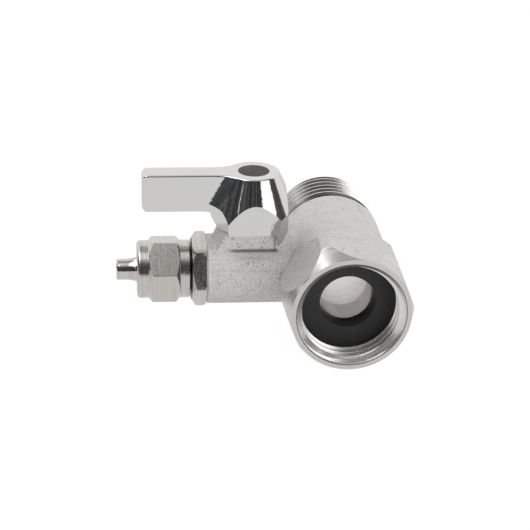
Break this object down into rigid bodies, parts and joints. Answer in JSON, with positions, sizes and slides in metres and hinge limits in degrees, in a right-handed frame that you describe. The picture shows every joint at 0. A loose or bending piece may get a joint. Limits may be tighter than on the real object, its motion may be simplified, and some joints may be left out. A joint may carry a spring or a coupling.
{
  "type": "hose ball valve",
  "caption": "Chrome tee adapter: half inch run, small quarter turn ball valve on its branch, compression nut and nozzle for a soft hose.",
  "frame": {"origin": "centre of the gasket face inside the socket, where the end of the supply pipe bears", "axes": "+Y along the straight run from the socket to the spigot, -X along the branch towards the hose nozzle, +Z along the valve stem towards the lever"},
  "size_m": [0.0572, 0.046, 0.0331],
  "materials": {
    "body_plating": "satin chrome plating over a shot blasted brass casting",
    "lever_chrome": "polished chrome plating",
    "nut_nickel": "turned and nickel plated brass",
    "adapter_nickel": "turned and nickel plated brass",
    "gasket_rubber": "matt black rubber",
    "ring_rubber": "matt black rubber",
    "seat_plastic": "white low friction plastic",
    "ball_chrome": "polished chrome plated brass",
    "stem_brass": "turned brass",
    "screw_steel": "zinc plated steel"
  },
  "bodies": {
    "fitting": {"valve_body": "body_plating", "inlet_gasket": "gasket_rubber", "ball_seat_run_side": "seat_plastic", "ball_seat_tube_side": "seat_plastic", "stem_thrust_washer": "seat_plastic", "tube_adapter": "adapter_nickel", "adapter_seal_ring": "ring_rubber"},
    "spindle": {"lever_handle": "lever_chrome", "lever_screw": "screw_steel", "lever_spring_washer": "screw_steel", "stem": "stem_brass", "stem_ring_lower": "ring_rubber", "stem_ring_upper": "ring_rubber", "ball": "ball_chrome"},
    "nut": {"compression_nut": "nut_nickel"}
  },
  "joints": [
    {"name": "lever", "type": "hinge", "parent": "fitting", "child": "spindle", "pos_m": [-0.0173, 0.01628, 0.015], "axis": [0, 0, -1], "range_deg": [0, 90]},
    {"name": "nut_thread", "type": "hinge", "parent": "fitting", "child": "nut", "pos_m": [-0.035, 0.01628, 0], "axis": [-1, 0, 0], "range_deg": [0, 360]}
  ]
}
